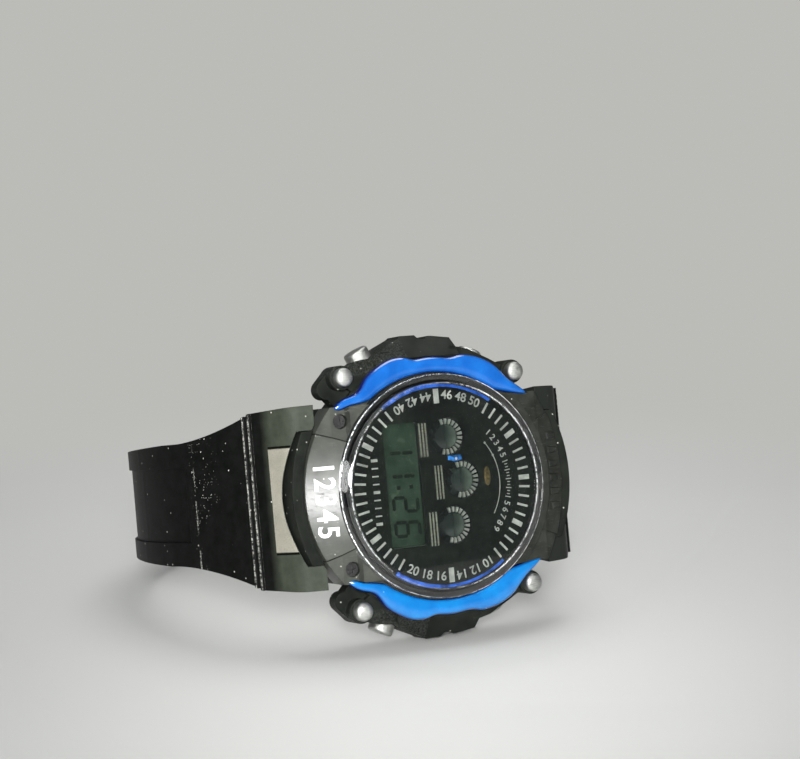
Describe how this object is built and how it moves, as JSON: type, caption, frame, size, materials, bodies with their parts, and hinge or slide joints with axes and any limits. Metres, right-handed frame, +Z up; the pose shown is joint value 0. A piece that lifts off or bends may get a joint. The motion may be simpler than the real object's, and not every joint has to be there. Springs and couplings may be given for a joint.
{
  "type": "digital watch",
  "caption": "Round digital sports watch lying on its side, resin strap buckled, with blue bezel inlays, four pushers and a display window.",
  "frame": {"origin": "floor point under the middle of the box of the watch as it lies on its 3 o'clock side", "axes": "+Z up, +X towards 12 o'clock, -Y the side that the dial faces; +Y runs from the dial to the buckle"},
  "size_m": [0.0684, 0.0862, 0.0453],
  "materials": {
    "resin_black": "moulded, satin",
    "resin_grey": "fine moulded grain",
    "strap_resin": "glossy soft resin",
    "blue_lacquer": "gloss",
    "pale_inlay": "satin",
    "satin_steel": "satin",
    "screw_steel": "dark",
    "clear_acrylic": "clear",
    "dial_black": "printed",
    "lcd_glass": "grey-green",
    "light_guide": "smoky",
    "module_plastic": "moulded",
    "board_green": "solder mask",
    "led_body": "clear",
    "brass_disc": "bright",
    "gasket_rubber": "matt"
  },
  "bodies": {
    "watch": {"case_body": "resin_black", "bezel": "resin_grey", "crescent_three": "blue_lacquer", "crescent_nine": "blue_lacquer", "bezel_pegs": "satin_steel", "bezel_screws": "screw_steel", "glass": "clear_acrylic", "glass_gasket": "gasket_rubber", "dial_plate": "dial_black", "lcd_panel": "lcd_glass", "light_guide": "light_guide", "module_housing": "module_plastic", "lcd_connector": "gasket_rubber", "lights": "led_body", "circuit_board": "board_green", "switch_contacts": "satin_steel", "battery_holder": "module_plastic", "battery": "satin_steel", "battery_clip": "satin_steel", "buzzer_disc": "brass_disc", "back_gasket": "gasket_rubber", "back_cover": "satin_steel", "back_screws": "screw_steel", "button_seals": "gasket_rubber", "strap_long": "strap_resin", "strap_short": "strap_resin", "panel_six": "pale_inlay", "panel_twelve": "pale_inlay", "spring_bars": "satin_steel", "buckle_bar": "satin_steel"},
    "start_pusher": {"start_button": "satin_steel", "start_clip": "screw_steel"},
    "reset_pusher": {"reset_button": "satin_steel", "reset_clip": "screw_steel"},
    "mode_pusher": {"mode_button": "satin_steel", "mode_clip": "screw_steel"},
    "light_pusher": {"light_button": "satin_steel", "light_clip": "screw_steel"},
    "keeper": {"strap_keeper": "strap_resin"},
    "frame": {"buckle_frame": "satin_steel"},
    "tongue": {"buckle_tongue": "satin_steel"}
  },
  "joints": [
    {"name": "start_press", "type": "slide", "parent": "watch", "child": "start_pusher", "axis": [-0.4226, 0.1432, 0.8949], "range_m": [0, 0.0008], "stiffness_N_per_m": 1500, "springref_m": -0.0004},
    {"name": "reset_press", "type": "slide", "parent": "watch", "child": "reset_pusher", "axis": [0.4226, 0.1432, 0.8949], "range_m": [0, 0.0008], "stiffness_N_per_m": 1500, "springref_m": -0.0004},
    {"name": "mode_press", "type": "slide", "parent": "watch", "child": "mode_pusher", "axis": [0.4226, -0.1432, -0.8949], "range_m": [0, 0.0008], "stiffness_N_per_m": 1500, "springref_m": -0.0004},
    {"name": "light_press", "type": "slide", "parent": "watch", "child": "light_pusher", "axis": [-0.4226, -0.1432, -0.8949], "range_m": [0, 0.0008], "stiffness_N_per_m": 1500, "springref_m": -0.0004},
    {"name": "keeper_slide", "type": "slide", "parent": "watch", "child": "keeper", "axis": [-0.7071, 0.6982, -0.1118], "range_m": [-0.004, 0.0005]},
    {"name": "frame_hinge", "type": "hinge", "parent": "watch", "child": "frame", "pos_m": [0.01551, 0.02922, 0.01271], "axis": [0, -0.158, -0.9874], "range_deg": [0, 17]},
    {"name": "tongue_hinge", "type": "hinge", "parent": "frame", "child": "tongue", "pos_m": [0.01551, 0.02922, 0.01271], "axis": [0, -0.158, -0.9874], "range_deg": [0, 5]}
  ]
}
